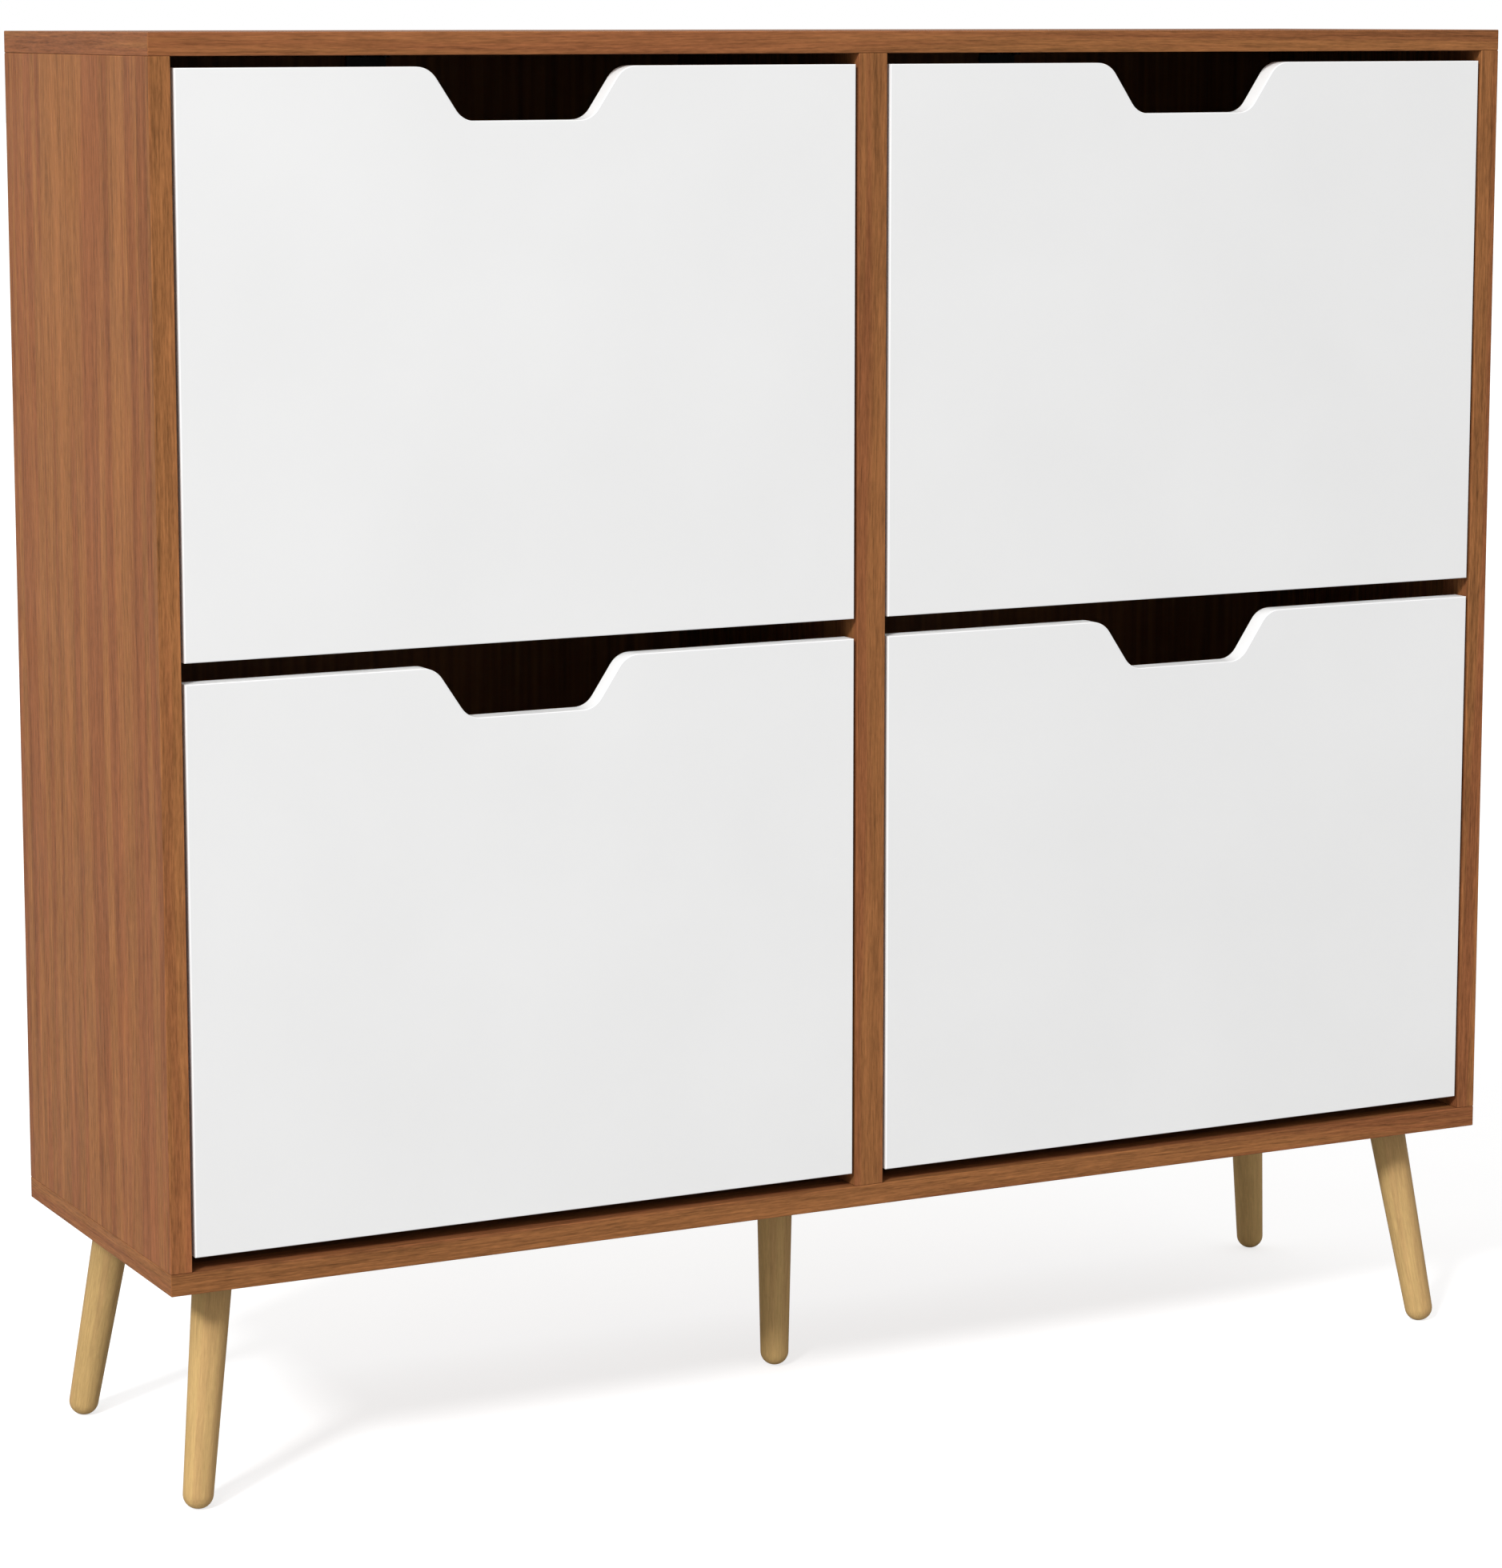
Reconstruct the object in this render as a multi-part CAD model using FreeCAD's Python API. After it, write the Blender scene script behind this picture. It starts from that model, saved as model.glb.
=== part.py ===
"""Four-flap shoe cabinet on five turned legs, in millimetres.

+X runs to the cabinet's right, +Y to its back and +Z up. The origin is on the floor, under the middle
of the cabinet. A board carcass stands on four splayed corner legs and one straight middle leg. Two
columns each hold two tip-out flaps. A flap carries a shoe rack: two moulded brackets that turn on pins
in the carcass, and four thin boards between them that make a front and a rear bin.
"""

import FreeCAD
import Part

import math
import os

Vector = FreeCAD.Vector

# ---- driving dimensions ----------------------------------------------------------------------------
WIDTH = 1042.0  # over the whole carcass, along X
DEPTH = 292.0  # along Y
CARCASS_HEIGHT = 823.0
LEG_HEIGHT = 156.0  # floor to the underside of the carcass
BOARD = 15.0  # coated chipboard: top, bottom, sides and flaps
DIVIDER = 22.0  # the thicker board between the columns
EDGE = 0.7  # rounding of the edge bands

FLAP_GAP = 2.5  # each side of a flap
FLAP_HEIGHT = 381.0
BOTTOM_GAP = 9.5  # bottom board to lower flap
MIDDLE_GAP = 14.0  # lower flap to upper flap

NOTCH_TOP = 140.0  # width of the finger notch at the flap's top edge
NOTCH_FLOOR = 92.5
NOTCH_DEPTH = 35.5
NOTCH_TOP_RADIUS = 17.0
NOTCH_FLOOR_RADIUS = 16.0

PIVOT_BACK = 27.0  # pivot axis behind the flap's front face
PIVOT_UP = 45.0  # pivot axis above the flap's bottom edge
OPEN_ANGLE = 50.0  # a flap tips out this far, in degrees

# ---- rack ------------------------------------------------------------------------------------------
RACK_TILT = 10.0  # the bins lean back by this angle when the flap is shut
RACK_FLOOR = -16.0  # bin floor at the flap, from the pivot, along Z
RACK_BOARD = 9.0
FRONT_BIN = 98.0  # from the flap's back to the middle board
REAR_BIN = 89.0
BIN_STEP = 30.0  # the rear bin's floor stands this much higher
MIDDLE_BOARD_TOP = 125.0
REAR_BOARD_TOP = 150.0
BRACKET_GAP = 4.0  # carcass to bracket
BRACKET_PLATE = 4.0
BRACKET_TOP = 215.0  # above the pivot
FLANGE = 3.0  # bracket flange on the flap's back
FLANGE_WIDTH = 16.0
RIB = 2.5
RIB_REACH = 9.0  # ribs stand this far in from the plate
FIT = 0.1  # clearance between parts that sit in each other
PIVOT_RADIUS = 4.0
RUNNING = 0.05  # radial clearance of the pivot
BOSS_RADIUS = 11.0
BOSS_DEPTH = 8.0
STOP_RADIUS = 75.0  # from the pivot to the stop pin
STOP_ANGLE = 93.0  # direction of the stop pin, from +Y towards +Z
STOP_PIN = 3.0
STOP_PLAY = 0.5
RACK_ROUND = 0.5  # rounding of the rack boards' long edges
SHELF_GAP = 2.0  # flange to the front shelf
PLATE_MARGIN = 4.0  # bracket plate past the boards it holds

# ---- carcass joints --------------------------------------------------------------------------------
BACK_SHEET = 3.0
BACK_INSET = 8.0  # back sheet in from the rear edges
GROOVE = 5.0  # depth of the groove that holds the back sheet
CAM_RADIUS = 7.5
CAM_DEPTH = 12.5
CAM_LOW = 0.5  # the cam lies this far short of its hole's floor
CAM_MOUTH = 3.6  # radius of the opening that the bolt's head goes in by
CAM_SLOT = (3.6, 9.2, 1.2)  # depth, length and width of each arm of the driver cross
CAM_OFFSET = 34.0  # board end to the middle of the cam
BOLT_THREAD = 3.0  # radii along a cam bolt
BOLT_SHANK = 2.6
BOLT_HEAD = 3.2
BOLT_COLLAR = 3.4
BOLT_STEP = 3.0  # length of the head and of the collar
BOLT_BORE = 3.5
CAM_PLACES = (-88.0, 78.0)  # along Y
DOWEL_PLACES = (-56.0, 46.0)
DOWEL_RADIUS = 4.0
DOWEL_LENGTH = 30.0
DOWEL_IN_BOARD = 11.0
END_PLAY = 0.5  # room past the end of a dowel, bolt or pin in its hole
PIN_STEM = 2.5
PIN_STEM_DEPTH = 9.0
PIN_COLLAR = 3.5  # thickness of the collar between carcass and bracket
PIVOT_COLLAR_RADIUS = 6.5
STOP_COLLAR_RADIUS = 4.6
PIN_ROUND = 0.6
NAIL_COUNT = 9
NAIL_RADIUS = 0.8
NAIL_HEAD_RADIUS = 2.2
NAIL_HEAD = 0.7
NAIL_LENGTH = 17.0
NAIL_ROWS = (-5.5, 5.5)  # along X: one row through each sheet's edge into the divider
NAIL_MARGIN = 30.0  # inside floor to the lowest nail

# ---- screws ----------------------------------------------------------------------------------------
SCREW_RADIUS = 1.75
SCREW_HEAD_RADIUS = 3.5
SCREW_HEAD = 2.0  # height of the head
SCREW_LENGTH = 10.0  # in the boards' faces
SCREW_POINT = 0.4
RECESS = 1.3  # depth of the cross recess
RECESS_ARM = 2.0  # half the length of its arms
RECESS_HALF = 0.45  # half their width
FLANGE_SCREW_DEPTH = 7.0  # in the flap
FLANGE_SCREWS_UP = (14.0, 80.0, 140.0, 200.0)  # above the pivot
RACK_SCREW_RADIUS = 1.6  # countersunk, through the bracket plates
RACK_SCREW_HEAD_RADIUS = 3.2
RACK_SCREW_LENGTH = 20.0
RACK_SCREW_SHARES = (0.25, 0.75)  # places across a rack board's width

# ---- wall brackets: steel angles under the top, for the screws that hold the cabinet to a wall --------
ANGLE_WIDTH = 30.0
ANGLE_LEG = 28.0
ANGLE_THICK = 2.0
ANGLE_BEND = 2.0  # rounding inside the bend
ANGLE_SCREWS = (-8.0, 8.0)  # along X, from the angle's middle
ANGLE_SCREW_FORWARD = 17.0  # in front of the back sheet
WALL_HOLE = 2.75
WALL_HOLE_DROP = 17.0
WALL_CLEARANCE = 3.2  # radius of the hole for the same screw in the back sheet

# ---- legs ------------------------------------------------------------------------------------------
LEG_TOP_RADIUS = 13.4
LEG_TIP_RADIUS = 10.4
LEG_TIP_ROUND = 9.9
LEG_TOP_ROUND = 1.0
LEG_INSET_X = 47.0  # leg axis at the carcass underside, from the side
LEG_INSET_Y = 49.0
LEG_SPLAY = 22.0  # a corner leg's axis runs outward this far, along X and along Y, down to the floor
MIDDLE_LEG_SHORT = 1.0  # the middle leg stops this far above a level floor
LEG_SEAT = 8.0  # leg's top face below the carcass, along the leg's axis
PLATE_SIDE = 52.0
PLATE_THICK = 2.0
PLATE_CORNER = 6.0
PLATE_HOLE = 19.0  # screw holes from the plate's middle, along X and Y
SOCKET_RADII = (12.0, 10.5)  # at its root and at the leg
SOCKET_ROOT = 4.0  # start of the socket above the plate, cut off flush
STUD_RADIUS = 4.0
STUD_IN_LEG = 26.0
STUD_IN_PLATE = 5.0

# ---- derived places --------------------------------------------------------------------------------
FRONT = -DEPTH / 2
BACK = DEPTH / 2
UNDERSIDE = LEG_HEIGHT
FLOOR_TOP = UNDERSIDE + BOARD  # inside floor of the carcass
TOP = LEG_HEIGHT + CARCASS_HEIGHT
CEILING = TOP - BOARD
COLUMN = (WIDTH - 2 * BOARD - DIVIDER) / 2  # clear width of a column
COLUMN_MIDDLE = (DIVIDER + COLUMN) / 2
FLAP_WIDTH = COLUMN - 2 * FLAP_GAP
FLAP_BOTTOM = {
    "lower": FLOOR_TOP + BOTTOM_GAP,
    "upper": FLOOR_TOP + BOTTOM_GAP + FLAP_HEIGHT + MIDDLE_GAP,
}
PIVOT_Y = FRONT + PIVOT_BACK
FLAP_BACK = BOARD - PIVOT_BACK  # the flap's back face, from the pivot
SHEET_FRONT = BACK - BACK_INSET - BACK_SHEET
COLUMNS = {"left": -1, "right": 1}
BOARD_LENGTH = COLUMN - 2 * (BRACKET_GAP + BRACKET_PLATE) - 2 * FIT
STOP_Y = STOP_RADIUS * math.cos(math.radians(STOP_ANGLE))
STOP_Z = STOP_RADIUS * math.sin(math.radians(STOP_ANGLE))


# ---- helpers ---------------------------------------------------------------------------------------
def box(x, y, z):
    """A box from three (low, high) pairs."""
    size = [high - low for low, high in (x, y, z)]
    return Part.makeBox(*size, Vector(x[0], y[0], z[0]))


def rod(radius, start, direction, length):
    return Part.makeCylinder(radius, length, Vector(*start), Vector(*direction))


def cone(radius, end_radius, start, direction, length):
    return Part.makeCone(radius, end_radius, length, Vector(*start), Vector(*direction))


def cut(shape, tools):
    return shape.cut(Part.makeCompound(tools))


def join(*shapes):
    whole = shapes[0].fuse(list(shapes[1:]))
    return whole.removeSplitter()


def soften(shape, radius=EDGE):
    """Rounds every edge of a plain board."""
    return shape.makeFillet(radius, shape.Edges)


def rounded_face(corners, place):
    """A flat face from (u, v, radius) corners, with place(u, v) giving each point in space."""
    edges = []
    count = len(corners)
    tangents = []
    for i, (u, v, radius) in enumerate(corners):
        here = Vector(u, v, 0)
        before = Vector(*corners[i - 1][:2], 0) - here
        after = Vector(*corners[(i + 1) % count][:2], 0) - here
        before.normalize()
        after.normalize()
        half = before.getAngle(after) / 2
        if radius == 0:
            tangents.append((here, None, here))
            continue
        reach = radius / math.tan(half)
        inward = before + after
        inward.normalize()
        middle = here + inward * (radius / math.sin(half) - radius)
        tangents.append((here + before * reach, middle, here + after * reach))
    for i, (start, middle, end) in enumerate(tangents):
        if middle is not None:
            edges.append(Part.Arc(place(start), place(middle), place(end)).toShape())
        following = tangents[(i + 1) % count][0]
        edges.append(Part.LineSegment(place(end), place(following)).toShape())
    return Part.Face(Part.Wire(edges))


def screw(place, direction, length, radius=SCREW_RADIUS, head_radius=SCREW_HEAD_RADIUS, countersunk=False):
    """A wood screw with a cross recess. place is under its flat head, or on top of a countersunk one."""
    way = Vector(*direction)
    start = Vector(*place)
    if countersunk:
        top = start
        body = cone(head_radius, radius, start, way, SCREW_HEAD)
        shank = rod(radius, start + way * SCREW_HEAD, way, length - SCREW_HEAD)
    else:
        top = start - way * SCREW_HEAD
        body = rod(head_radius, top, way, SCREW_HEAD)
        shank = rod(radius, start, way, length)
    tip = cone(radius, SCREW_POINT, start + way * length, way, 2 * radius)
    side = Vector(way.y, way.z, way.x)
    other = way.cross(side)
    slots = []
    for u, v in ((side, other), (other, side)):
        along = u * RECESS_ARM
        across = v * RECESS_HALF
        corners = [top - along - across, top + along - across, top + along + across, top - along + across]
        arm = Part.makePolygon([*corners, corners[0]])
        slots.append(Part.Face(arm).extrude(way * RECESS))
    return cut(join(body, shank, tip), slots)


def screw_hole(place, direction, length, radius=SCREW_RADIUS):
    way = Vector(*direction)
    return rod(radius + FIT, Vector(*place), way, length + 2 * radius + FIT)


def column_walls():
    """The four carcass faces that carry pins: (face x, way into the column)."""
    walls = []
    for sign in COLUMNS.values():
        outer = sign * (COLUMN_MIDDLE + COLUMN / 2)
        inner = sign * (COLUMN_MIDDLE - COLUMN / 2)
        walls.append((outer, -sign))
        walls.append((inner, sign))
    return walls


# ---- carcass ---------------------------------------------------------------------------------------
def joint_lines():
    """Where uprights meet the top and bottom: (x of bolts, x of dowels, x of cam face, way out of it)."""
    side = WIDTH / 2 - BOARD / 2
    face = WIDTH / 2 - BOARD
    divider_bolt = -DIVIDER / 2 + BOARD / 2
    return [
        (-side, -side, -face, 1),
        (divider_bolt, 0.0, -DIVIDER / 2, -1),
        (side, side, face, -1),
    ]


def upright_ends():
    """(z of the board end, way from the upright into the top or bottom board)"""
    return [(CEILING, 1), (FLOOR_TOP, -1)]


def cam_places():
    """Every cam: (x of its bolt, x of its face, way out of the face, y, z of the board end, way to it)."""
    return [
        (bolt_x, face, out, y, end, way)
        for bolt_x, _, face, out in joint_lines()
        for end, way in upright_ends()
        for y in CAM_PLACES
    ]


def cams():
    depth, length, width = CAM_SLOT
    solids = []
    for bolt_x, face, out, y, end, way in cam_places():
        middle = end - way * CAM_OFFSET
        cam = rod(CAM_RADIUS, (face, y, middle), (-out, 0, 0), CAM_DEPTH - CAM_LOW)
        mouth = rod(CAM_MOUTH, (bolt_x, y, middle - way * BOLT_STEP), (0, 0, way), 2 * CAM_RADIUS)
        slot = box((-depth / 2, depth / 2), (-length / 2, length / 2), (-width / 2, width / 2))
        crossed = [slot, slot.copy()]
        crossed[1].rotate(Vector(0, 0, 0), Vector(1, 0, 0), 90)
        for arm in crossed:
            arm.translate(Vector(face, y, middle))
        solids.append(cut(cam, [mouth, *crossed]))
    return solids


def cam_holes():
    holes = []
    for bolt_x, face, out, y, end, way in cam_places():
        middle = end - way * CAM_OFFSET
        holes.append(rod(CAM_RADIUS + FIT, (face + out, y, middle), (-out, 0, 0), CAM_DEPTH + 1))
        holes.append(rod(BOLT_BORE, (bolt_x, y, middle), (0, 0, way), CAM_OFFSET + 1))
    return holes


def cam_bolts():
    bolts = []
    for bolt_x, _, _, y, end, way in cam_places():
        reach = CAM_OFFSET - BOLT_STEP / 2
        shank = rod(BOLT_SHANK, (bolt_x, y, end - way * reach), (0, 0, way), reach)
        head = rod(BOLT_HEAD, (bolt_x, y, end - way * CAM_OFFSET), (0, 0, way), BOLT_STEP)
        collar = rod(BOLT_COLLAR, (bolt_x, y, end - way * BOLT_STEP), (0, 0, way), BOLT_STEP)
        thread = rod(BOLT_THREAD, (bolt_x, y, end), (0, 0, way), DOWEL_IN_BOARD)
        bolts.append(join(shank, head, collar, thread))
    return bolts


def dowels(radius=DOWEL_RADIUS, spare=0.0):
    pegs = []
    for _, dowel_x, _, _ in joint_lines():
        for end, way in upright_ends():
            for y in DOWEL_PLACES:
                start = (dowel_x, y, end - way * (DOWEL_LENGTH - DOWEL_IN_BOARD + spare))
                pegs.append(rod(radius, start, (0, 0, way), DOWEL_LENGTH + 2 * spare))
    return pegs


def dowel_holes():
    return dowels(DOWEL_RADIUS + FIT, END_PLAY)


def board_end_holes():
    holes = dowel_holes()
    for bolt_x, _, _, y, end, way in cam_places():
        holes.append(rod(BOLT_THREAD + FIT, (bolt_x, y, end), (0, 0, way), DOWEL_IN_BOARD + END_PLAY))
    return holes


def sheet_groove():
    """A block as large as the two back sheets in their grooves: cutting it leaves the groove."""
    y = (SHEET_FRONT - FIT, SHEET_FRONT + BACK_SHEET + FIT)
    half = WIDTH / 2 - BOARD
    return box((-half - GROOVE, half + GROOVE), y, (FLOOR_TOP - GROOVE, CEILING + GROOVE))


def pin_places():
    """Every pivot pin and stop pin: (face x, way into the column, y, z, is it a pivot)."""
    places = []
    for face, way in column_walls():
        for bottom in FLAP_BOTTOM.values():
            z = bottom + PIVOT_UP
            places.append((face, way, PIVOT_Y, z, True))
            places.append((face, way, PIVOT_Y + STOP_Y, z + STOP_Z, False))
    return places


def pin_holes():
    depth = PIN_STEM_DEPTH + END_PLAY
    return [rod(PIN_STEM + FIT, (x, y, z), (-way, 0, 0), depth) for x, way, y, z, _ in pin_places()]


def pins(pivots):
    """The pivot pins, or the stop pins: a stem in the board, a collar and the nose in the bracket."""
    solids = []
    radius, reach, collar = STOP_PIN, BRACKET_PLATE, STOP_COLLAR_RADIUS
    if pivots:
        radius, reach, collar = PIVOT_RADIUS, BOSS_DEPTH, PIVOT_COLLAR_RADIUS
    for x, way, y, z, is_pivot in pin_places():
        if is_pivot != pivots:
            continue
        stem = rod(PIN_STEM, (x, y, z), (-way, 0, 0), PIN_STEM_DEPTH)
        ring = rod(collar, (x, y, z), (way, 0, 0), PIN_COLLAR)
        nose = rod(radius, (x, y, z), (way, 0, 0), BRACKET_GAP + reach)
        rim = max(nose.Edges, key=lambda e: e.CenterOfMass.x * way)
        nose = nose.makeFillet(PIN_ROUND, [rim])
        solids.append(join(stem, ring, nose))
    return solids


def top_panel():
    board = soften(box((-WIDTH / 2, WIDTH / 2), (FRONT, BACK), (CEILING, TOP)))
    screws = [screw_hole(place, (0, 0, 1), SCREW_LENGTH) for place in wall_bracket_screw_places()]
    return cut(board, [sheet_groove(), *board_end_holes(), *screws])


def bottom_panel():
    board = soften(box((-WIDTH / 2, WIDTH / 2), (FRONT, BACK), (UNDERSIDE, FLOOR_TOP)))
    screws = [screw_hole(place, (0, 0, 1), SCREW_LENGTH) for place in plate_screw_places()]
    return cut(board, [sheet_groove(), *board_end_holes(), *screws])


def side_panel(sign):
    low, high = sorted((sign * WIDTH / 2, sign * (WIDTH / 2 - BOARD)))
    board = soften(box((low, high), (FRONT, BACK), (FLOOR_TOP, CEILING)))
    return cut(board, [sheet_groove(), *dowel_holes(), *cam_holes(), *pin_holes()])


def divider():
    board = soften(box((-DIVIDER / 2, DIVIDER / 2), (FRONT, SHEET_FRONT - FIT), (FLOOR_TOP, CEILING)))
    depth = BACK_INSET + NAIL_LENGTH + BACK_SHEET
    nail_holes = [rod(NAIL_RADIUS + FIT, (x, BACK, z), (0, -1, 0), depth) for x, z in nail_places()]
    return cut(board, [*dowel_holes(), *cam_holes(), *pin_holes(), *nail_holes])


def back_sheet(sign):
    """One of two sheets that slide in the grooves and meet behind the divider."""
    outer = WIDTH / 2 - BOARD + GROOVE - END_PLAY
    across = sorted((sign * END_PLAY, sign * outer))
    up = (FLOOR_TOP - GROOVE + END_PLAY, CEILING + GROOVE - END_PLAY)
    sheet = box(across, (SHEET_FRONT, SHEET_FRONT + BACK_SHEET), up)
    holes = [rod(NAIL_RADIUS + FIT, (x, BACK, z), (0, -1, 0), 2 * BACK_INSET) for x, z in nail_places()]
    holes += [rod(WALL_CLEARANCE, (x, BACK, z), (0, -1, 0), 2 * BACK_INSET) for x, z in wall_hole_places()]
    return cut(sheet, holes)


def nail_places():
    places = []
    spacing = (CEILING - FLOOR_TOP - 2 * NAIL_MARGIN) / (NAIL_COUNT - 1)
    for x in NAIL_ROWS:
        for i in range(NAIL_COUNT):
            places.append((x, FLOOR_TOP + NAIL_MARGIN + i * spacing))
    return places


def nails():
    solids = []
    face = SHEET_FRONT + BACK_SHEET
    for x, z in nail_places():
        head = rod(NAIL_HEAD_RADIUS, (x, face, z), (0, 1, 0), NAIL_HEAD)
        shank = rod(NAIL_RADIUS, (x, face, z), (0, -1, 0), NAIL_LENGTH)
        solids.append(join(head, shank))
    return solids


# ---- wall brackets -------------------------------------------------------------------------------------
def wall_hole_places():
    return [(sign * COLUMN_MIDDLE, CEILING - WALL_HOLE_DROP) for sign in COLUMNS.values()]


def wall_bracket_screw_places():
    """Underside of each screw head."""
    return [
        (x + side, SHEET_FRONT - ANGLE_SCREW_FORWARD, CEILING - ANGLE_THICK)
        for x, _ in wall_hole_places()
        for side in ANGLE_SCREWS
    ]


def wall_brackets():
    solids = []
    y = SHEET_FRONT - FIT
    bend = Vector(0, y - ANGLE_THICK, CEILING - ANGLE_THICK)
    for x, z in wall_hole_places():
        across = (x - ANGLE_WIDTH / 2, x + ANGLE_WIDTH / 2)
        flat = box(across, (y - ANGLE_LEG, y), (CEILING - ANGLE_THICK, CEILING))
        upright = box(across, (y - ANGLE_THICK, y), (CEILING - ANGLE_LEG, CEILING))
        angle = join(flat, upright)
        bend.x = x
        inside = min(angle.Edges, key=lambda e: e.CenterOfMass.distanceToPoint(bend))
        angle = angle.makeFillet(ANGLE_BEND, [inside])
        holes = [screw_hole(place, (0, 0, 1), ANGLE_THICK) for place in wall_bracket_screw_places()]
        holes.append(rod(WALL_HOLE, (x, y + 1, z), (0, -1, 0), 2 * ANGLE_THICK))
        solids.append(cut(angle, holes))
    return solids


def wall_bracket_screws():
    return [screw(place, (0, 0, 1), SCREW_LENGTH) for place in wall_bracket_screw_places()]


# ---- legs and their plates -------------------------------------------------------------------------
def corner_legs():
    """name, x and y of the leg's axis at the carcass underside, splay along X, splay along Y"""
    x = WIDTH / 2 - LEG_INSET_X
    y = DEPTH / 2 - LEG_INSET_Y
    return [
        ("front_left_leg", -x, -y, -LEG_SPLAY, -LEG_SPLAY),
        ("front_right_leg", x, -y, LEG_SPLAY, -LEG_SPLAY),
        ("rear_left_leg", -x, y, -LEG_SPLAY, LEG_SPLAY),
        ("rear_right_leg", x, y, LEG_SPLAY, LEG_SPLAY),
    ]


def leg_axis(splay_x, splay_y):
    way = Vector(splay_x, splay_y, -LEG_HEIGHT)
    way.normalize()
    return way


def aim(shape, way, place):
    """Turns a shape built down -Z so that it runs along way, and moves its origin to place."""
    turned = shape.copy()
    turned.Placement = FreeCAD.Placement(place, FreeCAD.Rotation(Vector(0, 0, -1), way))
    return turned


def leg(x, y, splay_x, splay_y, floor_gap=0.0):
    """A turned, tapered leg whose rounded tip reaches the floor."""
    way = leg_axis(splay_x, splay_y)
    lean = math.acos(-way.z)
    drop = UNDERSIDE - LEG_SEAT * math.cos(lean) - floor_gap
    flat = LEG_TIP_RADIUS - LEG_TIP_ROUND
    length = (drop - flat * math.sin(lean) - LEG_TIP_ROUND) / math.cos(lean)
    at = LEG_TIP_ROUND * math.sqrt(0.5)
    points = {
        "axis_top": Vector(0, 0, 0),
        "rim": Vector(LEG_TOP_RADIUS - LEG_TOP_ROUND, 0, 0),
        "shoulder": Vector(LEG_TOP_RADIUS, 0, -LEG_TOP_ROUND),
        "ankle": Vector(LEG_TIP_RADIUS, 0, -length),
        "curl": Vector(flat + at, 0, -length - at),
        "sole": Vector(flat, 0, -length - LEG_TIP_ROUND),
        "axis_tip": Vector(0, 0, -length - LEG_TIP_ROUND),
    }
    edges = [
        Part.LineSegment(points["axis_top"], points["rim"]).toShape(),
        Part.LineSegment(points["rim"], points["shoulder"]).toShape(),
        Part.LineSegment(points["shoulder"], points["ankle"]).toShape(),
        Part.Arc(points["ankle"], points["curl"], points["sole"]).toShape(),
        Part.LineSegment(points["sole"], points["axis_tip"]).toShape(),
        Part.LineSegment(points["axis_tip"], points["axis_top"]).toShape(),
    ]
    turned = Part.Face(Part.Wire(edges)).revolve(Vector(0, 0, 0), Vector(0, 0, 1), 360)
    bore = rod(STUD_RADIUS, (0, 0, 1), (0, 0, -1), STUD_IN_LEG + 1)
    place = Vector(x, y, UNDERSIDE) + way * LEG_SEAT
    return aim(cut(turned, [bore]), way, place)


def plate(x, y, splay_x, splay_y):
    """A steel plate with a socket that points along the leg."""
    way = leg_axis(splay_x, splay_y)
    half = PLATE_SIDE / 2
    corners = [(u * half, v * half, PLATE_CORNER) for u, v in ((-1, -1), (1, -1), (1, 1), (-1, 1))]
    face = rounded_face(corners, lambda p: Vector(x + p.x, y + p.y, UNDERSIDE))
    flat = face.extrude(Vector(0, 0, -PLATE_THICK))
    start = (0, 0, SOCKET_ROOT)
    middle = Vector(x, y, UNDERSIDE)
    socket = aim(cone(*SOCKET_RADII, start, (0, 0, -1), LEG_SEAT + SOCKET_ROOT), way, middle)
    bore = aim(rod(STUD_RADIUS, start, (0, 0, -1), LEG_SEAT + 2 * SOCKET_ROOT), way, middle)
    above = box((x - half, x + half), (y - half, y + half), (UNDERSIDE, UNDERSIDE + 3 * SOCKET_ROOT))
    holes = [
        rod(SCREW_RADIUS + FIT, (x + u * PLATE_HOLE, y + v * PLATE_HOLE, UNDERSIDE), (0, 0, -1), PLATE_THICK)
        for u in (-1, 1)
        for v in (-1, 1)
    ]
    return cut(join(flat, socket), [above, bore, *holes])


def stud(x, y, splay_x, splay_y):
    """The hanger bolt that joins a leg to its plate."""
    way = leg_axis(splay_x, splay_y)
    pin = rod(STUD_RADIUS - RUNNING, (0, 0, STUD_IN_PLATE), (0, 0, -1), STUD_IN_LEG + STUD_IN_PLATE - 1)
    return aim(pin, way, Vector(x, y, UNDERSIDE) + way * LEG_SEAT)


def leg_places():
    return [leg_place[1:] for leg_place in corner_legs()] + [(0.0, 0.0, 0.0, 0.0)]


def plate_screw_places():
    return [
        (x + u * PLATE_HOLE, y + v * PLATE_HOLE, UNDERSIDE - PLATE_THICK)
        for x, y, _, _ in leg_places()
        for u in (-1, 1)
        for v in (-1, 1)
    ]


def plate_screws():
    return [screw(place, (0, 0, 1), SCREW_LENGTH) for place in plate_screw_places()]


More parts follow.
